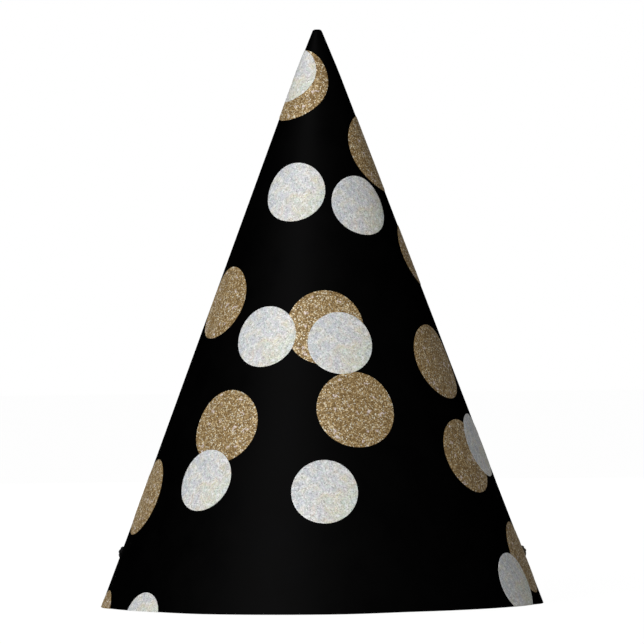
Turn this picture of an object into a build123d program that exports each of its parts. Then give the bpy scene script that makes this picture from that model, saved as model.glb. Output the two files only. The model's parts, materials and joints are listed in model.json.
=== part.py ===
"""New year party hat: a rolled cardstock cone with glitter dots and an elastic chin cord.

The hat stands on its brim. The origin is the centre of the brim, +Z runs up the axis to
the tip, and the front faces -Y. An azimuth is an angle round the axis from the front,
growing towards +X. A slant is a distance from the sharp apex along the wall, so a slant and
an azimuth together give a place on the flat, die-cut blank.
"""

import os
from math import atan, atan2, cos, hypot, pi, radians, sin, tan

from build123d import *

# Driving dimensions, in millimetres and degrees
BRIM_RADIUS = 71.0  # outside, at the brim
APEX_HEIGHT = 190.0  # height of the sharp apex, above the blunt tip
TIP_HEIGHT = 185.3  # height of the blunt, open tip
BOARD_THICKNESS = 0.4

TAPE_THICKNESS = 0.1  # double-sided tape in the seam
TAPE_WIDTH = 5.0
TAPE_BOTTOM = 6.0
TAPE_TOP = 112.0
RAMP_START = 166.0  # azimuth where the board starts to climb over its own other end
LAP_START = 172.0  # azimuth where it lies fully on top
HIDDEN_EDGE = 173.0  # azimuth of the end underneath
LAP_END = 184.0  # azimuth of the free edge outside

GOLD_FILM = 0.12  # thickness of the gold glitter film
WHITE_FILM = 0.15
SEAM_MARGIN = 0.4  # degrees of bare board each side of the lap
OUTLINE_POINTS = 48
PUNCH_START = 0.9  # share of the way across the cone where a dot's cutting solid starts
PUNCH_CLEARANCE = 2.0  # how far the cutting solid and the tape's cutting strip reach past the wall

CORD_DIAMETER = 1.2
PUNCH_DIAMETER = 2.2
PUNCH_AZIMUTH = 102.0  # each side of the front
PUNCH_HEIGHT = 17.0
FLOOR_GAP = 0.05  # between the cord's underside and the floor that the hat stands on
BEND_SHARE = 0.45  # share of a run that the bend at its end may use
KNOT_HEIGHT = 2.3  # how far the knot stands off the board
KNOT_RADIUS = 1.9
KNOT_RADIUS_HEIGHT = 0.95  # where the knot is widest, off the board
KNOT_SEAT_RADIUS = 1.55
KNOT_SHOULDER_RADIUS = 1.35
KNOT_SHOULDER_HEIGHT = 1.98

# Dots on the blank: slant and azimuth of the centre, and radius; front half first, then the back
GOLD_DOTS = [
    (24.4, -57.5, 12.0), (48.0, 83.0, 12.9), (82.9, 87.5, 10.2), (98.7, -64.2, 12.2),
    (107.5, 2.6, 12.5), (135.2, 13.7, 12.6), (140.6, -38.2, 12.2), (164.9, -77.2, 12.8),
    (119.5, 64.3, 12.6), (151.6, 61.6, 12.4), (186.7, 78.7, 12.1), (208.0, -80.5, 11.2),
    (104.0, 126.0, 12.4), (138.0, 110.0, 12.4), (163.0, 139.0, 12.2), (192.0, 120.0, 12.6),
    (58.0, -138.0, 12.2), (112.0, -166.0, 12.4), (131.0, -113.0, 12.3), (168.0, -131.0, 12.5),
    (196.0, -165.0, 12.4),
]
WHITE_DOTS = [
    (21.1, -72.5, 8.8), (61.3, -21.0, 10.0), (66.0, 35.5, 10.1), (110.4, -26.5, 10.2),
    (112.8, 9.4, 10.4), (158.6, -41.5, 10.2), (162.4, 1.0, 10.5), (205.1, -53.6, 8.8),
    (148.2, 76.6, 10.7), (195.0, 64.7, 10.4),
    (64.0, 137.0, 10.1), (98.0, 147.0, 10.3), (135.0, 150.0, 10.3), (167.0, 121.0, 10.4),
    (196.0, 146.0, 10.5), (88.0, -113.0, 10.1), (121.0, -131.0, 10.3), (150.0, -162.0, 10.4),
    (160.0, -108.0, 10.4), (188.0, -152.0, 10.3), (199.0, -121.0, 10.5),
]

# Dimensions worked out from them
HALF_ANGLE = atan(BRIM_RADIUS / APEX_HEIGHT)
LAP_RISE = BOARD_THICKNESS + TAPE_THICKNESS
TAPE_AZIMUTH = (HIDDEN_EDGE + LAP_END) / 2
FILM_START = LAP_END - 360 + SEAM_MARGIN
FILM_ARC = RAMP_START - SEAM_MARGIN - FILM_START
LIE = CORD_DIAMETER / 2 + FLOOR_GAP  # height of the cord's middle where it lies


def outward(azimuth):
    """Level unit vector that points away from the axis at this azimuth."""
    return Vector(sin(radians(azimuth)), -cos(radians(azimuth)), 0)


def radial_plane(azimuth):
    """Upright half plane through the axis: x runs outward and y runs up."""
    x_dir = outward(azimuth)
    return Plane(origin=(0, 0, 0), x_dir=x_dir, z_dir=x_dir.cross(Vector(0, 0, 1)))


def wall_radius(height, offset=0.0):
    """Radius of the outside of the cone at a height, moved off the wall by an offset."""
    return (APEX_HEIGHT - height) * tan(HALF_ANGLE) + offset / cos(HALF_ANGLE)


def layer_profile(inner, outer, bottom=0.0, top=TIP_HEIGHT):
    """Corners of a layer of the wall between two offsets, in a radial plane."""
    return [
        (wall_radius(bottom, inner), bottom),
        (wall_radius(bottom, outer), bottom),
        (wall_radius(top, outer), top),
        (wall_radius(top, inner), top),
    ]


def wall_plane(azimuth, height):
    """Plane that touches the outside of the wall, with x along the brim and z outward."""
    x_dir = outward(azimuth + 90)
    z_dir = outward(azimuth) * cos(HALF_ANGLE) + Vector(0, 0, sin(HALF_ANGLE))
    return Plane(origin=outward(azimuth) * wall_radius(height) + Vector(0, 0, height),
                 x_dir=x_dir, z_dir=z_dir)


def dot_outline(slant, radius, distance):
    """Points of a dot's outline, cast from the wall opposite it onto an upright plane.

    The dot is a true circle on the flat blank. Rolling the blank bends it round the cone,
    and each bent point is cast onto the plane that stands at this distance from the
    opposite wall.
    """
    far_wall = slant * sin(HALF_ANGLE)
    points = []
    for step in range(OUTLINE_POINTS):
        turn = 2 * pi * step / OUTLINE_POINTS
        across = radius * sin(turn)
        along = slant + radius * cos(turn)
        point_slant = hypot(along, across)
        swing = atan2(across, along) / sin(HALF_ANGLE)
        scale = distance / (point_slant * sin(HALF_ANGLE) * cos(swing) + far_wall)
        points.append((scale * point_slant * sin(HALF_ANGLE) * sin(swing),
                       scale * (slant - point_slant) * cos(HALF_ANGLE)))
    return points


def dot_punch(slant, azimuth, radius):
    """Solid that widens away from the opposite wall and cuts one dot out of a layer."""
    far_wall = slant * sin(HALF_ANGLE)
    near = PUNCH_START * far_wall
    far = far_wall + (slant + radius) * sin(HALF_ANGLE) + PUNCH_CLEARANCE
    height = APEX_HEIGHT - slant * cos(HALF_ANGLE)
    start = Vector(0, 0, height) - outward(azimuth) * far_wall
    with BuildPart() as punch:
        for distance in (near, far):
            plane = Plane(origin=start + outward(azimuth) * distance,
                          x_dir=outward(azimuth + 90), z_dir=outward(azimuth))
            with BuildSketch(plane):
                with BuildLine():
                    Spline(*dot_outline(slant, radius, distance), periodic=True)
                make_face()
        loft(ruled=True)
    return punch.part


def finish(piece, name):
    piece.part.label = name
    export_step(piece.part, f"parts/{name}.step")


os.makedirs("parts", exist_ok=True)

# Board: one printed cardstock sheet, rolled so that its outer end laps over its inner end
with BuildPart() as board:
    with BuildSketch(radial_plane(HIDDEN_EDGE - 360)):
        Polygon(*layer_profile(-BOARD_THICKNESS, 0.0), align=None)
    revolve(axis=Axis.Z, revolution_arc=360 - HIDDEN_EDGE + RAMP_START)
    with BuildSketch(radial_plane(RAMP_START)) as ramp_foot:
        Polygon(*layer_profile(-BOARD_THICKNESS, 0.0), align=None)
    with BuildSketch(radial_plane(LAP_START)) as ramp_head:
        Polygon(*layer_profile(TAPE_THICKNESS, LAP_RISE), align=None)
    loft(sections=[ramp_foot.sketch, ramp_head.sketch], ruled=True)
    with BuildSketch(radial_plane(LAP_START)):
        Polygon(*layer_profile(TAPE_THICKNESS, LAP_RISE), align=None)
    revolve(axis=Axis.Z, revolution_arc=LAP_END - LAP_START)
    for side in (-1, 1):
        with BuildSketch(wall_plane(side * PUNCH_AZIMUTH, PUNCH_HEIGHT)):
            Circle(PUNCH_DIAMETER / 2)
        extrude(amount=2 * BOARD_THICKNESS, both=True, mode=Mode.SUBTRACT)
finish(board, "board_cone")

# Seam tape: a straight strip of double-sided tape, pressed between the two ends of the board
with BuildPart() as tape:
    with BuildSketch(radial_plane(HIDDEN_EDGE)):
        Polygon(*layer_profile(0.0, TAPE_THICKNESS, TAPE_BOTTOM, TAPE_TOP), align=None)
    revolve(axis=Axis.Z, revolution_arc=LAP_END - HIDDEN_EDGE)
    strip = Plane(origin=(0, 0, 0), x_dir=outward(TAPE_AZIMUTH + 90), z_dir=(0, 0, 1))
    with BuildSketch(strip):
        with Locations((0, -BRIM_RADIUS / 2)):
            Rectangle(TAPE_WIDTH, BRIM_RADIUS + PUNCH_CLEARANCE)
    extrude(amount=TIP_HEIGHT, mode=Mode.INTERSECT)
finish(tape, "seam_tape")

# Glitter dots: thin film discs on the outside of the board, white ones laid over gold ones
white_punches = [dot_punch(*place) for place in WHITE_DOTS]
for number, punch in enumerate(white_punches, start=1):
    with BuildPart() as dot:
        add(punch)
        with BuildSketch(radial_plane(FILM_START)):
            Polygon(*layer_profile(0.0, WHITE_FILM), align=None)
        revolve(axis=Axis.Z, revolution_arc=FILM_ARC, mode=Mode.INTERSECT)
    finish(dot, f"white_glitter_dot_{number:02d}")

for number, (slant, azimuth, radius) in enumerate(GOLD_DOTS, start=1):
    with BuildPart() as dot:
        add(dot_punch(slant, azimuth, radius))
        with BuildSketch(radial_plane(FILM_START)):
            Polygon(*layer_profile(0.0, GOLD_FILM), align=None)
        revolve(axis=Axis.Z, revolution_arc=FILM_ARC, mode=Mode.INTERSECT)
        for (white_slant, white_azimuth, white_radius), punch in zip(WHITE_DOTS, white_punches):
            swing = radians(white_azimuth - azimuth) * sin(HALF_ANGLE)
            gap = hypot(white_slant * cos(swing) - slant, white_slant * sin(swing))
            if gap < radius + white_radius:
                add(punch, mode=Mode.SUBTRACT)
    finish(dot, f"gold_glitter_dot_{number:02d}")

# Chin cord: thin elastic, from one punched hole down to the floor, round and up to the other
left_hole = wall_plane(-PUNCH_AZIMUTH, PUNCH_HEIGHT).origin
right_hole = wall_plane(PUNCH_AZIMUTH, PUNCH_HEIGHT).origin
route = [
    left_hole, (-57.3, 12.2, 14.7), (-52.5, 10.4, 8.0), (-47.5, 7.0, 2.4), (-41.0, 1.0, LIE),
    (-31.0, -9.0, LIE), (-14.0, -19.5, LIE), (10.0, -25.5, LIE), (33.0, -25.0, LIE),
    (48.5, -15.0, LIE), (50.5, -1.0, LIE), (38.0, 7.0, LIE), (17.0, 6.0, LIE),
    (-6.0, 3.5, LIE), (-24.5, 9.0, LIE), (-31.5, 22.0, LIE), (-24.0, 35.5, LIE),
    (-6.0, 41.5, LIE), (15.0, 39.0, LIE), (32.5, 29.0, LIE), (43.5, 18.0, LIE),
    (49.0, 12.6, 2.6), (53.0, 11.4, 8.2), (57.3, 12.2, 14.7), right_hole,
]
route = [Vector(point) for point in route]
bends = []
for before, corner, after in zip(route, route[1:], route[2:]):
    turn = (corner - before).get_angle(after - corner)
    shorter = min((corner - before).length, (after - corner).length)
    bends.append(BEND_SHARE * shorter / tan(radians(turn) / 2))
with BuildPart() as cord:
    with BuildLine() as cord_line:
        FilletPolyline(*route, radius=bends)
    with BuildSketch(Plane(origin=cord_line.line @ 0, z_dir=cord_line.line % 0)):
        Circle(CORD_DIAMETER / 2)
    sweep()
finish(cord, "elastic_cord")

# Knots: the cord is knotted outside each punched hole, so that it can't pull through
for side, name in ((-1, "cord_knot_left"), (1, "cord_knot_right")):
    seat = wall_plane(side * PUNCH_AZIMUTH, PUNCH_HEIGHT)
    section = Plane(origin=seat.origin, x_dir=seat.x_dir, z_dir=-seat.y_dir)
    with BuildPart() as knot:
        with BuildSketch(section):
            with BuildLine():
                Polyline((0, KNOT_HEIGHT), (0, 0), (KNOT_SEAT_RADIUS, 0))
                Spline((KNOT_SEAT_RADIUS, 0), (KNOT_RADIUS, KNOT_RADIUS_HEIGHT),
                       (KNOT_SHOULDER_RADIUS, KNOT_SHOULDER_HEIGHT), (0, KNOT_HEIGHT),
                       tangents=((1, 1), (-1, 0)))
            make_face()
        revolve(axis=Axis(seat.origin, seat.z_dir))
    finish(knot, name)
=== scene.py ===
"""New year party hat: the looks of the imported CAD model, in the same frame, in metres.

An azimuth is an angle round the hat's axis from the front, growing towards +X. A slant is a
distance from the sharp apex along the wall. Together they give a place on the flat blank
that the cone was rolled from, which is where the glitter dots are laid out.
"""

import json
import math

import bpy
import numpy as np
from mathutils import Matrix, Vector
from mathutils.geometry import delaunay_2d_cdt

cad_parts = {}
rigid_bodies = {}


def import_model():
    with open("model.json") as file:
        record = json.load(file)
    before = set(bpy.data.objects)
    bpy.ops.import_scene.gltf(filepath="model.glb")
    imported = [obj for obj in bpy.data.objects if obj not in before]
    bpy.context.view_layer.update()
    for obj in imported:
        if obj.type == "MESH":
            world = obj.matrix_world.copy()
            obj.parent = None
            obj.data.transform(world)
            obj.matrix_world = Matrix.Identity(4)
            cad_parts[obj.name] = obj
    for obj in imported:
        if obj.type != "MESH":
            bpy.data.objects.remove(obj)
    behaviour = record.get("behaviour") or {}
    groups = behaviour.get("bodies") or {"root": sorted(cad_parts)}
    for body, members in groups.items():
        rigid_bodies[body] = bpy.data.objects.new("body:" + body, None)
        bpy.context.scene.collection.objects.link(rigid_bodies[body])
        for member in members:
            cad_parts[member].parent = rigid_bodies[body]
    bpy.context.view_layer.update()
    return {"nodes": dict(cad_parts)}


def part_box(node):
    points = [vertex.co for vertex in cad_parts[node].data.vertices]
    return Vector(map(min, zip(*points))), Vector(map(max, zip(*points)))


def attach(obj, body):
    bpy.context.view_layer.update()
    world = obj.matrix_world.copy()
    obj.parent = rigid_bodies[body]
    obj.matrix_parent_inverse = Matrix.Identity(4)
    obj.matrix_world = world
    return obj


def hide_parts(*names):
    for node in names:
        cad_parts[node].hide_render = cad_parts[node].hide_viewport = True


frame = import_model()

MM = 0.001

# The cone, as part.py has it
APEX = 0.190
BRIM_RADIUS = 0.071
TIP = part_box("board_cone")[1][2]
BOARD = 0.4 * MM
TAPE = 0.1 * MM
RAMP_START, LAP_START, LAP_END, HIDDEN_EDGE = 166.0, 172.0, 184.0, 173.0
TAPE_TOP = 0.112
PUNCH_AZIMUTH, PUNCH_HEIGHT, PUNCH_RADIUS = 102.0, 0.017, 1.1 * MM
TAN = BRIM_RADIUS / APEX
COS = APEX / math.hypot(BRIM_RADIUS, APEX)
SIN = BRIM_RADIUS / math.hypot(BRIM_RADIUS, APEX)


def outward(azimuth):
    a = math.radians(azimuth)
    return Vector((math.sin(a), -math.cos(a), 0))


def wall_normal(azimuth):
    return outward(azimuth) * COS + Vector((0, 0, SIN))


def wall_point(azimuth, height):
    return outward(azimuth) * ((APEX - height) * TAN) + Vector((0, 0, height))


# ---------------------------------------------------------------- camera
# Far off and level with the middle of the hat, with a long lens
camera = bpy.data.objects.new("camera", bpy.data.cameras.new("camera"))
bpy.context.scene.collection.objects.link(camera)
camera.location = (0.0007, -2.0, 0.091)
camera.rotation_euler = (math.radians(90), math.radians(0.56), 0)
camera.data.lens = 346.8
camera.data.sensor_width = 36
camera.data.clip_end = 50
bpy.context.scene.camera = camera


# ---------------------------------------------------------------- materials
class Nodes:
    """Short calls for building one material's nodes."""

    def __init__(self, name):
        self.material = bpy.data.materials.new(name)
        self.material.use_nodes = True
        self.tree = self.material.node_tree
        self.tree.nodes.clear()
        self.out = self.add("ShaderNodeOutputMaterial")

    def add(self, kind, inputs=None, **settings):
        node = self.tree.nodes.new(kind)
        for key, value in settings.items():
            setattr(node, key, value)
        for key, value in (inputs or {}).items():
            if isinstance(value, bpy.types.NodeSocket):
                self.tree.links.new(value, node.inputs[key])
            else:
                node.inputs[key].default_value = value
        return node

    def place(self):
        """Object coordinates, in metres."""
        return self.add("ShaderNodeTexCoord").outputs["Object"]

    def flat(self):
        """Place on a dot, in millimetres from its middle."""
        return self.attribute("flat").outputs["Vector"]

    def attribute(self, name):
        return self.add("ShaderNodeAttribute", attribute_type="GEOMETRY", attribute_name=name)

    def noise(self, where, scale, detail):
        return self.add("ShaderNodeTexNoise", {"Vector": where, "Scale": scale, "Detail": detail,
                                               "Roughness": 0.55}).outputs[0]

    def scaled(self, where, factors):
        return self.add("ShaderNodeMapping", {"Vector": where, "Scale": factors}).outputs[0]

    def ramp(self, factor, stops):
        """A colour that runs through stops, which are pairs of a place and a colour."""
        node = self.add("ShaderNodeValToRGB", {"Fac": factor})
        elements = node.color_ramp.elements
        while len(elements) < len(stops):
            elements.new(0.5)
        for element, (place, colour) in zip(elements, stops):
            element.position = place
            element.color = (*colour, 1)
        return node.outputs["Color"]

    def grey(self, factor, low, high, start=0.3, end=0.7):
        """A number that runs from low to high as the factor runs from start to end."""
        return self.add("ShaderNodeMapRange", {"Value": factor, "From Min": start, "From Max": end,
                                               "To Min": low, "To Max": high}).outputs[0]

    def mix(self, factor, first, second, blend="MIX"):
        node = self.add("ShaderNodeMix", data_type="RGBA", blend_type=blend)
        colour_sockets = (node.inputs[6], node.inputs[7])
        for socket, value in zip((node.inputs[0], *colour_sockets), (factor, first, second)):
            if isinstance(value, bpy.types.NodeSocket):
                self.tree.links.new(value, socket)
            else:
                socket.default_value = (*value, 1) if isinstance(value, tuple) else value
        return node.outputs[2]

    def bump(self, height, strength, distance):
        return self.add("ShaderNodeBump", {"Height": height, "Strength": strength,
                                           "Distance": distance}).outputs[0]

    def principled(self, **inputs):
        named = {key.replace("_", " "): value for key, value in inputs.items()}
        shader = self.add("ShaderNodeBsdfPrincipled", named)
        self.tree.links.new(shader.outputs[0], self.out.inputs[0])
        return self.material


def print_black():
    """Solid black ink on smooth cardstock, with the faint mottle and tooth of the print.

    Metallic with a black tint is only a way to keep the ink dark where the wall turns away.
    """
    n = Nodes("print_black")
    place = n.place()
    mottle = n.noise(place, 90, 4)
    tooth = n.noise(place, 2600, 2)
    fibre = n.noise(n.scaled(place, (1.0, 1.0, 0.35)), 1500, 3)
    colour = n.ramp(mottle, [(0.3, (0.0028, 0.0028, 0.0029)), (0.7, (0.0042, 0.0041, 0.0041))])
    height = n.mix(0.4, tooth, fibre)
    return n.principled(Base_Color=colour, Roughness=n.grey(mottle, 0.54, 0.64),
                        Metallic=0.97, Specular_Tint=(0.0, 0.0, 0.0, 1.0),
                        Specular_IOR_Level=0.0, Normal=n.bump(height, 0.25, 0.03 * MM))


def board_white():
    """Uncoated white back of the cardstock."""
    n = Nodes("board_white")
    place = n.place()
    fibre = n.noise(n.scaled(place, (1.0, 1.0, 0.4)), 1800, 4)
    cloud = n.noise(place, 60, 3)
    tone = n.mix(0.5, fibre, cloud)
    colour = n.ramp(tone, [(0.35, (0.76, 0.745, 0.71)), (0.65, (0.85, 0.84, 0.815))])
    return n.principled(Base_Color=colour, Roughness=n.grey(cloud, 0.78, 0.9),
                        Specular_IOR_Level=0.3, Normal=n.bump(fibre, 0.4, 0.04 * MM))


def cut_edge():
    """Edge of the cardstock, where the die cut through its white fibres under black ink."""
    n = Nodes("cut_edge")
    fibre = n.noise(n.scaled(n.place(), (1.0, 1.0, 3.0)), 3500, 4)
    colour = n.ramp(fibre, [(0.3, (0.5, 0.49, 0.46)), (0.6, (0.74, 0.73, 0.7))])
    return n.principled(Base_Color=colour, Roughness=n.grey(fibre, 0.8, 0.95),
                        Specular_IOR_Level=0.2, Normal=n.bump(fibre, 0.6, 0.06 * MM))


def adhesive():
    """Double-sided tape: clear film with a slightly yellow, pebbled adhesive."""
    n = Nodes("adhesive")
    place = n.place()
    bubbles = n.add("ShaderNodeTexVoronoi", {"Vector": place, "Scale": 900})
    cloud = n.noise(place, 150, 3)
    colour = n.ramp(cloud, [(0.3, (0.68, 0.62, 0.47)), (0.7, (0.78, 0.74, 0.62))])
    return n.principled(Base_Color=colour, Roughness=n.grey(cloud, 0.3, 0.5),
                        Normal=n.bump(bubbles.outputs["Distance"], 0.3, 0.03 * MM))


def elastic(name, dusting):
    """Black braided polyester, with glitter dust rubbed off on it to the share of `dusting`."""
    n = Nodes(name)
    yarn = n.noise(n.place(), 5200, 3)
    cloud = n.noise(n.place(), 160, 2)
    fine = n.ramp(yarn, [(0.3, (0.004, 0.004, 0.0045)), (0.7, (0.014, 0.0135, 0.013))])
    broad = n.ramp(cloud, [(0.3, (0.005, 0.005, 0.0055)), (0.7, (0.012, 0.0115, 0.011))])
    black = n.mix(0.5, fine, broad)
    dust = n.grey(n.noise(n.place(), 2400, 3), 0.35 * dusting, dusting, 0.4, 0.6)
    colour = n.mix(dust, black, (0.26, 0.205, 0.15))
    return n.principled(Base_Color=colour, Roughness=n.grey(yarn, 0.5, 0.7),
                        Specular_IOR_Level=0.12, Normal=n.bump(yarn, 0.5, 0.03 * MM))


def gold_glitter():
    """Fine gold glitter: brown gaps, gold flakes, a few pale clusters, and painted glints in
    near-white flake colours.
    """
    n = Nodes("gold_glitter")
    flake = n.attribute("flake").outputs["Fac"]
    flat = n.flat()
    # The stops from 0.86 up are painted glints: flakes coloured near white stand in for sparkle
    colour = n.ramp(flake, [(0.0, (0.20, 0.119, 0.042)), (0.45, (0.365, 0.241, 0.10)),
                            (0.74, (0.50, 0.354, 0.164)), (0.86, (0.88, 0.68, 0.39)),
                            (0.94, (1.0, 0.93, 0.70)), (1.0, (1.0, 1.0, 0.92))])
    blotch = n.noise(flat, 0.85, 4)
    drift = n.noise(flat, 0.2, 2)
    shade = n.mix(0.5, n.ramp(blotch, [(0.36, (0.52, 0.47, 0.38)), (0.6, (1.0, 1.0, 1.0))]),
                  n.ramp(drift, [(0.35, (0.84, 0.81, 0.76)), (0.65, (1.0, 1.0, 1.0))]))
    colour = n.mix(1.0, colour, shade, "MULTIPLY")
    clusters = n.noise(flat, 0.36, 2)
    pale = n.grey(clusters, 0.0, 0.95, 0.62, 0.67)
    pale = n.add("ShaderNodeMath", {0: pale, 1: n.grey(flake, 0.25, 1.0, 0.2, 0.8)},
                 operation="MULTIPLY").outputs[0]
    colour = n.mix(pale, colour, (0.95, 0.83, 0.80))
    grain = n.noise(flat, 3.2, 2)
    return n.principled(Base_Color=colour, Metallic=0.12,
                        Roughness=n.grey(flake, 0.6, 0.46, 0.2, 1.0),
                        Specular_IOR_Level=0.2, Normal=n.bump(grain, 0.5, 0.05 * MM))


def white_glitter():
    """White iridescent glitter: pale flakes in drifts of blue, lilac, mint, peach and yellow, with
    painted highlights in white spots.
    """
    n = Nodes("white_glitter")
    flake = n.attribute("flake").outputs["Fac"]
    flat = n.flat()
    tone = n.ramp(flake, [(0.0, (0.47, 0.46, 0.46)), (0.2, (0.70, 0.70, 0.70)),
                          (0.72, (0.83, 0.83, 0.83)), (0.86, (1.0, 1.0, 1.0))])
    patches = n.noise(flat, 0.36, 1)
    broad = n.noise(flat, 0.16, 1)
    hue = n.ramp(patches, [(0.34, (0.895, 0.925, 0.955)), (0.41, (0.975, 0.935, 0.98)),
                           (0.475, (0.925, 0.995, 0.955)), (0.53, (0.985, 0.99, 0.955)),
                           (0.585, (1.0, 0.935, 0.91)), (0.66, (0.995, 1.0, 0.885))])
    lean = n.add("ShaderNodeVectorMath", {0: flat, 1: (0.035, -0.03, 0.0)},
                 operation="DOT_PRODUCT").outputs["Value"]
    spread = n.add("ShaderNodeMath", {0: lean, 1: n.grey(broad, 0.1, 0.9, 0.25, 0.75)},
                   operation="ADD").outputs[0]
    drift = n.ramp(spread, [(0.08, (0.86, 0.89, 0.935)), (0.34, (0.955, 0.97, 0.98)),
                            (0.52, (0.985, 0.985, 0.975)), (0.66, (1.0, 0.955, 0.91)),
                            (0.8, (1.0, 0.985, 0.87)), (0.94, (0.94, 1.0, 0.955))])
    colour = n.mix(1.0, n.mix(1.0, tone, hue, "MULTIPLY"), drift, "MULTIPLY")
    # Painted highlights: where this noise is high, the colour turns pure white to stand in for
    # sparkle
    spots = n.noise(flat, 0.8, 2)
    colour = n.mix(n.grey(spots, 0.0, 0.95, 0.56, 0.66), colour, (1.0, 1.0, 1.0))
    grain = n.noise(flat, 3.5, 2)
    return n.principled(Base_Color=colour, Roughness=n.grey(flake, 0.55, 0.25, 0.4, 1.0),
                        Specular_IOR_Level=0.45, Normal=n.bump(grain, 0.4, 0.04 * MM))


PRINT_BLACK = print_black()
BOARD_WHITE = board_white()
CUT_EDGE = cut_edge()
ELASTIC = elastic("elastic_black", 0.0)
ELASTIC_DUSTED = elastic("elastic_with_glitter_dust", 0.9)
GOLD_GLITTER = gold_glitter()
WHITE_GLITTER = white_glitter()


def new_piece(name, points, faces, materials, slot, *nodes):
    """A mesh object that rides on the hat and stands for CAD nodes."""
    mesh = bpy.data.meshes.new(name)
    mesh.from_pydata([tuple(p) for p in points], [], faces)
    mesh.update()
    piece = bpy.data.objects.new(name, mesh)
    bpy.context.scene.collection.objects.link(piece)
    for material in materials:
        mesh.materials.append(material)
    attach(piece, "root")
    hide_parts(*nodes)
    return piece


# ---------------------------------------------------------------- shape of the rolled sheet
# How far the sheet strays from a true cone, in millimetres, and over what heights, in metres
FLARE, FLARE_TOP = 0.22, 0.03
PINCH, PINCH_START, PINCH_LENGTH = 0.42, 0.172, 0.0133
CURL, CURL_LENGTH = 0.5, 0.5 * MM
LOOSE_TOP, LOOSE_BRIM = 0.22, 0.08
LIFT_RIGHT, LIFT_LEFT, BRIM_ZONE = 0.32, 0.27, 0.006


def smooth(value, low, high):
    """0 below low, 1 above high, and an even curve between them."""
    t = np.clip((np.asarray(value, float) - low) / (high - low), 0, 1)
    return t * t * (3 - 2 * t)


def sway(azimuth, height):
    """How far the rolled sheet stands out from a true cone.

    It has gentle waves, a brim that flares at the sides, both of which die out at the seam, and
    a tip that is rolled tighter and curls in at its edge.
    """
    a = np.radians(azimuth)
    free = 1 - smooth(np.abs(azimuth), 140, 160)
    wave = 0.09 * np.sin(3 * a + 0.6 + 14 * height) + 0.05 * np.sin(5 * a - 1.1 - 22 * height)
    wave = wave * (1 - 0.6 * height / APEX)
    wave = wave + FLARE * np.sin(a) ** 2 * (1 - smooth(height, 0.0, FLARE_TOP))
    pinch = PINCH * np.clip((height - PINCH_START) / PINCH_LENGTH, 0, 1)
    curl = CURL * np.clip((height - TIP) / CURL_LENGTH + 1, 0, 1) ** 2.5
    return (wave * free - pinch - curl) * MM


def rise(azimuth, height):
    """How far the outer end stands off the base cone where it climbs over the inner end."""
    step = (BOARD + TAPE) * smooth(azimuth, RAMP_START, LAP_START)
    edge = smooth(azimuth, LAP_START + 3, LAP_END)
    loose = LOOSE_TOP * smooth(height, TAPE_TOP + 0.01, TAPE_TOP + 0.05)
    loose = loose + LOOSE_BRIM * (1 - smooth(height, 0.0, BRIM_ZONE))
    return step + edge * loose * MM


def lift(azimuth, height):
    """How far the brim clears the floor where the blank's lower edge isn't cut quite true."""
    right = LIFT_RIGHT * smooth(azimuth, 2, 25) * (1 - smooth(azimuth, 68, 85))
    left = LIFT_LEFT * smooth(-azimuth, 30, 52) * (1 - smooth(-azimuth, 68, 85))
    return (right + left) * (1 - smooth(height, 0.0, BRIM_ZONE)) * MM


def sheet_points(azimuth, height, offset):
    """Points of the rolled sheet, moved off its outer face by an offset."""
    azimuth, height = np.asarray(azimuth, float), np.asarray(height, float)
    height = height + lift(azimuth, height)
    out = offset + sway(azimuth, height) + rise(azimuth, height)
    radius = (APEX - height) * TAN + out / COS
    a = np.radians(azimuth)
    return np.stack([radius * np.sin(a), -radius * np.cos(a), height], axis=-1)


# ---------------------------------------------------------------- elastic cord and knots
LIE = 0.65  # millimetres: the cord's middle over the floor
left_hole = wall_point(-PUNCH_AZIMUTH, PUNCH_HEIGHT) / MM
right_hole = wall_point(PUNCH_AZIMUTH, PUNCH_HEIGHT) / MM
ROUTE = [
    left_hole, (-57.3, 12.2, 14.7), (-52.5, 10.4, 8.0), (-47.5, 7.0, 2.4), (-41.0, 1.0, LIE),
    (-31.0, -9.0, LIE), (-14.0, -19.5, LIE), (10.0, -25.5, LIE), (33.0, -25.0, LIE),
    (48.5, -15.0, LIE), (50.5, -1.0, LIE), (38.0, 7.0, LIE), (17.0, 6.0, LIE),
    (-6.0, 3.5, LIE), (-24.5, 9.0, LIE), (-31.5, 22.0, LIE), (-24.0, 35.5, LIE),
    (-6.0, 41.5, LIE), (15.0, 39.0, LIE), (32.5, 29.0, LIE), (43.5, 18.0, LIE),
    (49.0, 12.6, 2.6), (53.0, 11.4, 8.2), (57.3, 12.2, 14.7), right_hole,
]
CORE_RADIUS = 0.43 * MM
STRANDS = 4  # yarns that run each way round the core
PITCH = 4.2 * MM  # length of cord in which a yarn goes once round
YARN_LAY, YARN_WEAVE = 0.455 * MM, 0.045 * MM  # a yarn's distance from the cord's middle
YARN_RADIUS, YARN_WIDE, YARN_THICK = 0.15 * MM, 1.5, 0.75  # the last two are shares of the radius
CUT_END = 0.5 * MM  # length over which a cut end is rounded off
CORD_STEP, KNOT_STEP = 0.3 * MM, 0.16 * MM


def nurbs_line(points):
    """Points read from the NURBS spline that has these control points, in metres."""
    curve = bpy.data.curves.new("route", "CURVE")
    curve.dimensions = "3D"
    curve.resolution_u = 16
    spline = curve.splines.new("NURBS")
    spline.points.add(len(points) - 1)
    for control, point in zip(spline.points, points):
        control.co = (*point, 1)
    spline.order_u = 3
    spline.use_endpoint_u = True
    holder = bpy.data.objects.new("route", curve)
    mesh = bpy.data.meshes.new_from_object(holder)
    line = np.array([v.co[:] for v in mesh.vertices])
    bpy.data.meshes.remove(mesh)
    bpy.data.objects.remove(holder)
    bpy.data.curves.remove(curve)
    return line


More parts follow.
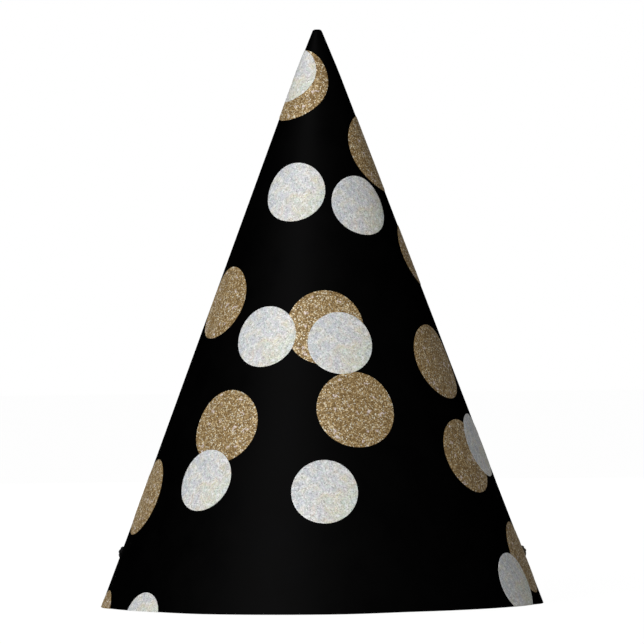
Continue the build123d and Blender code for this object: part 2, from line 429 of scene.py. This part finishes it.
def even_line(line, step):
    """The line again with evenly spaced points."""
    along = np.concatenate([[0], np.cumsum(np.linalg.norm(np.diff(line, axis=0), axis=1))])
    at = np.linspace(0, along[-1], int(along[-1] / step) + 1)
    return np.stack([np.interp(at, along, line[:, k]) for k in range(3)], axis=1), at


def frames_along(line):
    """Two directions across a line at each of its points, which don't twist along it."""
    heading = np.gradient(line, axis=0)
    heading /= np.linalg.norm(heading, axis=1)[:, None]
    side = np.cross(heading[0], (0, 0, 1))
    sides = []
    for direction in heading:
        side = side - direction * side.dot(direction)
        side = side / np.linalg.norm(side)
        sides.append(side)
    sides = np.array(sides)
    return sides, np.cross(heading, sides)


def add_tube(points, faces, centres, radii, first, second, count):
    """One closed tube of rings, with its ends capped."""
    base = len(points)
    for centre, radius, x_dir, y_dir in zip(centres, radii, first, second):
        for k in range(count):
            turn = 2 * math.pi * k / count
            points.append(centre + radius * (math.cos(turn) * x_dir + math.sin(turn) * y_dir))
    rings = len(centres)
    for ring in range(rings - 1):
        for k in range(count):
            a, b = base + ring * count + k, base + ring * count + (k + 1) % count
            faces.append((a, b, b + count, a + count))
    faces.append(tuple(base + k for k in reversed(range(count))))
    faces.append(tuple(base + (rings - 1) * count + k for k in range(count)))


def braided_cord(line, step, rounded=False):
    """A round braid of thin yarns over a core, along a line, with its far end rounded or not."""
    centres, at = even_line(line, step)
    first, second = frames_along(centres)
    width = np.ones(len(at))
    if rounded:
        width = np.sqrt(np.clip((at[-1] - at) / CUT_END, 0.04, 1))
    points, faces = [], []
    add_tube(points, faces, centres, CORE_RADIUS * width, first, second, 10)
    for way in (1, -1):
        for strand in range(STRANDS):
            turn = way * (2 * math.pi * at / PITCH) + 2 * math.pi * strand / STRANDS
            weave = YARN_WEAVE * way * np.cos(2 * math.pi * at / PITCH * STRANDS)
            radius = (YARN_LAY + weave)[:, None] * width[:, None]
            ray = np.cos(turn)[:, None] * first + np.sin(turn)[:, None] * second
            spot = centres + radius * ray
            run = np.gradient(spot, axis=0)
            run /= np.linalg.norm(run, axis=1)[:, None]
            across = np.cross(ray, run)
            across /= np.linalg.norm(across, axis=1)[:, None]
            add_tube(points, faces, spot, YARN_RADIUS * width, across * YARN_WIDE,
                     ray * YARN_THICK, 6)
    return points, faces, centres


cord_line = nurbs_line([Vector(p) * MM for p in ROUTE])
points, faces, cord_centres = braided_cord(cord_line, CORD_STEP)
cord = new_piece("elastic_cord_braid", points, faces, [ELASTIC], "elastic", "elastic_cord")
cord.data.shade_smooth()
cord.data.set_sharp_from_angle(angle=math.radians(50))

# An overhand knot of the same cord outside each hole: it comes out of the hole, goes round the
# loops of a trefoil, whose middle is a drop below the hole, and ends in a short tail. Its places
# are in millimetres along the brim, up the wall and away from it
for side, name, drop, covering in ((-1, "left", 0.45, ELASTIC),
                                   (1, "right", 1.4, ELASTIC_DUSTED)):
    seat = Vector(sheet_points(side * PUNCH_AZIMUTH, PUNCH_HEIGHT, 0.0))
    level = outward(side * PUNCH_AZIMUTH + 90)
    normal = wall_normal(side * PUNCH_AZIMUTH)
    up = normal.cross(level)
    trefoil = []
    for k in range(23):
        t = 2 * math.pi * (0.03 + 0.94 * k / 22)
        trefoil.append((0.44 * (math.sin(t) + 2 * math.sin(2 * t)),
                        0.53 * (math.cos(t) - 2 * math.cos(2 * t)) - drop,
                        1.20 - 0.6 * math.sin(3 * t)))
    tail = [(0.25, -0.75 - drop, 1.65), (0.45, -1.35 - drop, 1.2), (0.55, -1.85 - drop, 0.8)]
    run = [(0.0, 0.0, -0.7), (0.0, -0.1, 0.2), *trefoil, *tail]
    run = [seat + (level * (x * side) + up * y + normal * z) * MM for x, y, z in run]
    points, faces, _ = braided_cord(nurbs_line(run), KNOT_STEP, rounded=True)
    knot = new_piece(f"elastic_knot_{name}", points, faces, [covering], "elastic",
                     f"cord_knot_{name}")
    knot.data.shade_smooth()


# ---------------------------------------------------------------- board
# Azimuths and heights of the sheet's grid: closer together on the ramp up to the lap and at the tip
COLUMN_STEP = 1.2
columns = [HIDDEN_EDGE - 360] + [COLUMN_STEP * k for k in range(-155, 139)]
columns += [float(k) for k in range(int(RAMP_START), int(LAP_START) + 1)]
columns += [LAP_START + COLUMN_STEP * k for k in range(1, 11)]
rows = [0.0, 0.001] + [k * MM for k in range(3, 184, 2)]
rows += [TIP - k * MM for k in (1.2, 0.6, 0.4, 0.2, 0.1, 0.0)]

# A square of the grid round each punched hole is left out and filled with rings
PATCH_COLUMNS = 3
PATCH_LOW, PATCH_HIGH = rows.index(13 * MM), rows.index(21 * MM)
RING_SHARES = (0.45, 0.12, 0.0)  # of the way from the hole's edge out to the square's border
patches = {}
for side in (-1, 1):
    nearest = min(columns, key=lambda c: abs(c - side * PUNCH_AZIMUTH))
    patches[side] = columns.index(nearest)

LAYERS = ((0, 0.0), (1, -BOARD))  # outer and inner face of the board
points, faces, surface = [], [], []
grid = {}
for layer, offset in LAYERS:
    for c, azimuth in enumerate(columns):
        places = sheet_points(np.full(len(rows), azimuth), rows, offset)
        for r, place in enumerate(places):
            if not any(abs(c - middle) < PATCH_COLUMNS and PATCH_LOW < r < PATCH_HIGH
                       for middle in patches.values()):
                grid[layer, c, r] = len(points)
                points.append(tuple(place))


def add_face(loop, kind):
    """A face of the board, and which of its three surfaces it belongs to."""
    faces.append(tuple(loop))
    surface.append(kind)


OUTSIDE, INSIDE, EDGE = 0, 1, 2
last_column, last_row = len(columns) - 1, len(rows) - 1
for c in range(last_column):
    for r in range(last_row):
        if any(-PATCH_COLUMNS <= c - middle < PATCH_COLUMNS and PATCH_LOW <= r < PATCH_HIGH
               for middle in patches.values()):
            continue
        corners = ((c, r), (c + 1, r), (c + 1, r + 1), (c, r + 1))
        add_face([grid[0, a, b] for a, b in corners], OUTSIDE)
        add_face([grid[1, a, b] for a, b in reversed(corners)], INSIDE)
    add_face([grid[0, c, 0], grid[1, c, 0], grid[1, c + 1, 0], grid[0, c + 1, 0]], EDGE)
    add_face([grid[0, c, last_row], grid[0, c + 1, last_row], grid[1, c + 1, last_row],
              grid[1, c, last_row]], EDGE)
for r in range(last_row):
    add_face([grid[0, 0, r], grid[0, 0, r + 1], grid[1, 0, r + 1], grid[1, 0, r]], EDGE)
    add_face([grid[0, last_column, r], grid[1, last_column, r], grid[1, last_column, r + 1],
              grid[0, last_column, r + 1]], EDGE)

for side, middle in patches.items():
    # Rings from the border of the square in to the edge of the hole
    border = [(c, PATCH_LOW) for c in range(middle - PATCH_COLUMNS, middle + PATCH_COLUMNS)]
    border += [(middle + PATCH_COLUMNS, r) for r in range(PATCH_LOW, PATCH_HIGH)]
    border += [(c, PATCH_HIGH) for c in range(middle + PATCH_COLUMNS, middle - PATCH_COLUMNS, -1)]
    border += [(middle - PATCH_COLUMNS, r) for r in range(PATCH_HIGH, PATCH_LOW, -1)]
    radius_here = (APEX - PUNCH_HEIGHT) * TAN
    shifts = []
    for c, r in border:
        across = math.radians(columns[c] - side * PUNCH_AZIMUTH) * radius_here
        along = (rows[r] - PUNCH_HEIGHT) / COS
        shifts.append(Vector((across, along)))
    holes = {}
    for layer, offset in LAYERS:
        rings = [[grid[layer, c, r] for c, r in border]]
        for share in RING_SHARES:
            ring = []
            for shift in shifts:
                spot = shift.normalized() * PUNCH_RADIUS * (1 - share) + shift * share
                azimuth = side * PUNCH_AZIMUTH + math.degrees(spot.x / radius_here)
                height = PUNCH_HEIGHT + spot.y * COS
                ring.append(len(points))
                points.append(tuple(sheet_points(azimuth, height, offset)))
            rings.append(ring)
        count = len(border)
        for wide, narrow in zip(rings, rings[1:]):
            for k in range(count):
                loop = [wide[k], wide[(k + 1) % count], narrow[(k + 1) % count], narrow[k]]
                add_face(loop if layer == 0 else loop[::-1], OUTSIDE if layer == 0 else INSIDE)
        holes[layer] = rings[-1]
    for k in range(count):
        a, b = k, (k + 1) % count
        add_face([holes[0][a], holes[0][b], holes[1][b], holes[1][a]], EDGE)

board = new_piece("board_sheet", points, faces, [PRINT_BLACK, BOARD_WHITE, CUT_EDGE],
                  "printed_board", "board_cone")
board.data.polygons.foreach_set("material_index", surface)
board.data.shade_smooth()
board.data.set_sharp_from_angle(angle=math.radians(35))


# ---------------------------------------------------------------- glitter dots
FACET = 0.42 * MM  # distance between the corners of the flakes
JITTER = 0.42  # share of a step that a corner strays by
ROW = 0.866  # share of a step between the rows of a triangular lattice
RIM_STEP, RIM_MARGIN = 0.36 * MM, 0.24 * MM
BACK_STEP, BACK_MARGIN = 2.2 * MM, 0.7 * MM
SINK = 0.004 * MM  # how far a film's back lies in the board, so that no gap shows
RIM_HEIGHT, RIM_RELIEF = 0.8, 0.4  # shares of the film's own
RIM_FLAKE, BACK_FLAKE = 0.3, 0.4  # what "flake" is there, where it is 0 to 1 on top
SLIVER = 8  # outlines with no more points than this are specks left by the cut


def film_loops(node):
    """Outlines of a dot's outer face, on the flat blank, in metres, and its middle azimuth."""
    mesh = bpy.data.objects[node].data
    place = np.array([v.co[:] for v in mesh.vertices])
    thickness = np.hypot(place[:, 0], place[:, 1]) * COS - (APEX - place[:, 2]) * SIN
    top = thickness > 0.5 * thickness.max()
    middle = math.atan2(place[:, 0].mean(), -place[:, 1].mean())
    swing = np.arctan2(place[:, 0], -place[:, 1]) - middle
    swing = (swing + math.pi) % (2 * math.pi) - math.pi
    base = place - thickness[:, None] * np.stack([
        COS * np.sin(swing + middle), -COS * np.cos(swing + middle), np.full(len(place), SIN)], 1)
    slant = (APEX - base[:, 2]) / COS
    flat = np.stack([slant * np.sin(swing * SIN), slant * np.cos(swing * SIN)], 1)
    keys = [tuple(p) for p in np.round(flat, 6)]
    edges = {}  # those of the outer face that no second triangle shares, in the order found
    for polygon in mesh.polygons:
        ring = list(polygon.vertices)
        if all(top[k] for k in ring):
            for a, b in zip(ring, ring[1:] + ring[:1]):
                pair = (keys[a], keys[b])
                if pair[::-1] in edges:
                    del edges[pair[::-1]]
                elif pair[0] != pair[1]:
                    edges[pair] = True
    following = {}
    for a, b in edges:
        following.setdefault(a, []).append(b)
    loops = []
    while following:
        start = next(iter(following))
        loop, here = [start], following[start].pop()
        while here != start and following.get(here):
            loop.append(here)
            here = following[here].pop()
        following = {a: b for a, b in following.items() if b}
        if len(loop) > SLIVER:
            loops.append(np.array(loop))
    return loops, math.degrees(middle)


def resampled(loop, step):
    """A closed outline with points about a step apart."""
    closed = np.vstack([loop, loop[:1]])
    along = np.concatenate([[0], np.cumsum(np.linalg.norm(np.diff(closed, axis=0), axis=1))])
    count = max(12, int(round(along[-1] / step)))
    at = np.arange(count) * along[-1] / count
    return np.stack([np.interp(at, along, closed[:, k]) for k in range(2)], axis=1)


def inside(spots, loops):
    """Which spots lie inside an odd number of outlines, and how far each is from the nearest."""
    odd = np.zeros(len(spots), bool)
    near = np.full(len(spots), np.inf)
    for loop in loops:
        a, b = loop, np.roll(loop, -1, axis=0)
        px, py = spots[:, :1], spots[:, 1:]
        crosses = (a[:, 1] > py) != (b[:, 1] > py)
        slope = np.where(b[:, 1] == a[:, 1], 1.0, b[:, 1] - a[:, 1])
        x_at = a[:, 0] + (py - a[:, 1]) * (b[:, 0] - a[:, 0]) / slope
        odd ^= (np.sum(crosses & (px < x_at), axis=1) % 2).astype(bool)
        near = np.minimum(near, np.sqrt(((px - a[:, 0]) ** 2 + (py - a[:, 1]) ** 2).min(axis=1)))
    return odd, near


def lattice(loops, step, margin, random):
    """Jittered points of a triangular lattice inside the outlines."""
    corner = np.min([loop.min(axis=0) for loop in loops], axis=0) - step
    size = np.max([loop.max(axis=0) for loop in loops], axis=0) - corner + step
    across = np.arange(int(size[0] / step) + 1)
    along = np.arange(int(size[1] / (ROW * step)) + 1)
    x, y = np.meshgrid(across, along)
    spots = np.stack([x * step + (y % 2) * step / 2, y * ROW * step], axis=-1).reshape(-1, 2)
    spots = spots + corner + random.uniform(-JITTER, JITTER, spots.shape) * step
    within, near = inside(spots, loops)
    return spots[within & (near > margin)]


def triangles(loops, spots):
    """Points and counter-clockwise faces that fill the outlines, with corners at the spots."""
    flat, edges = [], []
    for loop in loops:
        first = len(flat)
        flat += [tuple(p) for p in loop]
        edges += [(first + k, first + (k + 1) % len(loop)) for k in range(len(loop))]
    flat += [tuple(p) for p in spots]
    out = delaunay_2d_cdt([Vector(p) for p in flat], edges, [], 4, 1e-7)
    return np.array([p[:] for p in out[0]]), [tuple(f) for f in out[2]]


def dot_piece(node, film, relief, material, slot, seed):
    """A film of glitter in the outline of a CAD dot: facets on top, a rim, and a flat back."""
    random = np.random.default_rng(seed)
    loops, middle = film_loops(node)
    loops = [resampled(loop, RIM_STEP) for loop in loops]
    spots = lattice(loops, FACET, RIM_MARGIN, random)
    flat, tops = triangles(loops, spots)
    rim = sum(len(loop) for loop in loops)
    back_spots = lattice(loops, BACK_STEP, BACK_MARGIN, random)
    back_flat, backs = triangles(loops, back_spots)

    def rolled(spot, offset):
        slant = np.hypot(spot[:, 0], spot[:, 1])
        azimuth = middle + np.degrees(np.arctan2(spot[:, 0], spot[:, 1])) / SIN
        height = APEX - slant * COS
        a = np.radians(azimuth)
        normal = np.stack([COS * np.sin(a), -COS * np.cos(a), np.full(len(a), SIN)], axis=1)
        return sheet_points(azimuth, height, 0.0) + normal * offset[:, None]

    on_rim = np.arange(len(flat)) < rim
    height = film + random.uniform(-1, 1, len(flat)) * relief
    rim_height = film * RIM_HEIGHT + random.uniform(-RIM_RELIEF, RIM_RELIEF, len(flat)) * relief
    top = rolled(flat, np.where(on_rim, rim_height, height))
    back = rolled(back_flat, np.full(len(back_flat), -SINK))
    base = len(top)
    points = np.vstack([top, back])
    points[:, 2] = np.maximum(points[:, 2], 0)  # none below the floor
    faces = list(tops)
    flake = list(random.uniform(0, 1, len(tops)))
    first = 0
    for loop in loops:
        count = len(loop)
        for k in range(count):
            a, b = first + k, first + (k + 1) % count
            faces.append((a, b, base + b, base + a))
            flake.append(RIM_FLAKE)
        first += count
    for face in backs:
        faces.append(tuple(base + k for k in reversed(face)))
        flake.append(BACK_FLAKE)

    # Place on the dot for its material: millimetres from its middle, along the brim and up the wall
    centre = (loops[0].min(axis=0) + loops[0].max(axis=0)) / 2
    local = (np.vstack([flat, back_flat]) - centre) / MM
    local = np.stack([local[:, 0], -local[:, 1], np.zeros(len(local))], axis=1)

    mesh = new_piece(node + "_film", points, faces, [material], slot, node).data
    mesh.attributes.new("flake", "FLOAT", "FACE").data.foreach_set("value", flake)
    flat_layer = mesh.attributes.new("flat", "FLOAT_VECTOR", "POINT")
    flat_layer.data.foreach_set("vector", local.ravel())
    mesh.flip_normals()  # the flat blank is laid out as seen from its back


# Thickness of the film, height of its flakes' relief, material, and first seed
FILMS = {"gold": (0.12 * MM, 0.05 * MM, GOLD_GLITTER, 1000),
         "white": (0.15 * MM, 0.035 * MM, WHITE_GLITTER, 2000)}
dot_names = sorted(name for name in frame["nodes"] if "_dot_" in name)
for number, node in enumerate(dot_names):
    colour = node.split("_")[0]
    film, relief, material, seed = FILMS[colour]
    dot_piece(node, film, relief, material, f"{colour}_glitter", seed + number)

# ---------------------------------------------------------------- seam tape
tape = bpy.data.objects["seam_tape"]
for tape_slot in tape.material_slots:
    tape_slot.material = adhesive()

# ---------------------------------------------------------------- floor, world and lights
FLOOR_RADIUS, FLOOR_CORNERS = 6, 96
floor_nodes = Nodes("floor")
faint = floor_nodes.noise(floor_nodes.place(), 6, 2)
lit = floor_nodes.ramp(faint, [(0.3, (0.055, 0.055, 0.055)), (0.7, (0.06, 0.06, 0.06))])
floor_nodes.principled(Base_Color=lit, Roughness=0.95, Specular_IOR_Level=0.0,
                       Emission_Color=(1, 1, 1, 1), Emission_Strength=0.975)
floor_mesh = bpy.data.meshes.new("floor")
turns = [2 * math.pi * k / FLOOR_CORNERS for k in range(FLOOR_CORNERS)]
ring = [(FLOOR_RADIUS * math.cos(turn), FLOOR_RADIUS * math.sin(turn), 0) for turn in turns]
floor_mesh.from_pydata(ring, [], [tuple(range(FLOOR_CORNERS))])
floor_mesh.materials.append(floor_nodes.material)
floor = bpy.data.objects.new("floor", floor_mesh)
bpy.context.scene.collection.objects.link(floor)
floor.visible_diffuse = False
floor.visible_glossy = False

world = bpy.data.worlds.new("studio")
bpy.context.scene.world = world
world.use_nodes = True
tree = world.node_tree
tree.nodes.clear()
output = tree.nodes.new("ShaderNodeOutputWorld")
seen = tree.nodes.new("ShaderNodeBackground")
seen.inputs[0].default_value = (1, 1, 1, 1)
seen.inputs[1].default_value = 1.0
soft = tree.nodes.new("ShaderNodeBackground")
soft.inputs[0].default_value = (1.0, 0.995, 0.985, 1)
soft.inputs[1].default_value = 0.22
rays = tree.nodes.new("ShaderNodeLightPath")
choose = tree.nodes.new("ShaderNodeMixShader")
tree.links.new(rays.outputs["Is Camera Ray"], choose.inputs[0])
tree.links.new(soft.outputs[0], choose.inputs[1])
tree.links.new(seen.outputs[0], choose.inputs[2])
tree.links.new(choose.outputs[0], output.inputs[0])

LIGHT_DISTANCE = 1.5


def studio_light(name, azimuth, elevation, size, power):
    """A square soft box that faces the middle of the hat."""
    data = bpy.data.lights.new(name, "AREA")
    data.shape = "SQUARE"
    data.size = size
    data.energy = power
    light = bpy.data.objects.new(name, data)
    bpy.context.scene.collection.objects.link(light)
    flat = math.cos(math.radians(elevation))
    away = outward(azimuth) * flat + Vector((0, 0, math.sin(math.radians(elevation))))
    light.location = Vector((0, 0, TIP / 2)) + away * LIGHT_DISTANCE
    light.rotation_mode = "QUATERNION"
    light.rotation_quaternion = away.to_track_quat("Z", "Y")
    light.visible_camera = False
    return light


studio_light("key", azimuth=-28, elevation=24, size=0.6, power=14.8)
for number, azimuth in enumerate((170, -170), start=1):
    back = studio_light(f"back_{number}", azimuth, elevation=8, size=0.7, power=7.0)
    back.visible_glossy = False

bpy.context.scene.view_settings.view_transform = "Standard"
bpy.context.scene.view_settings.look = "None"
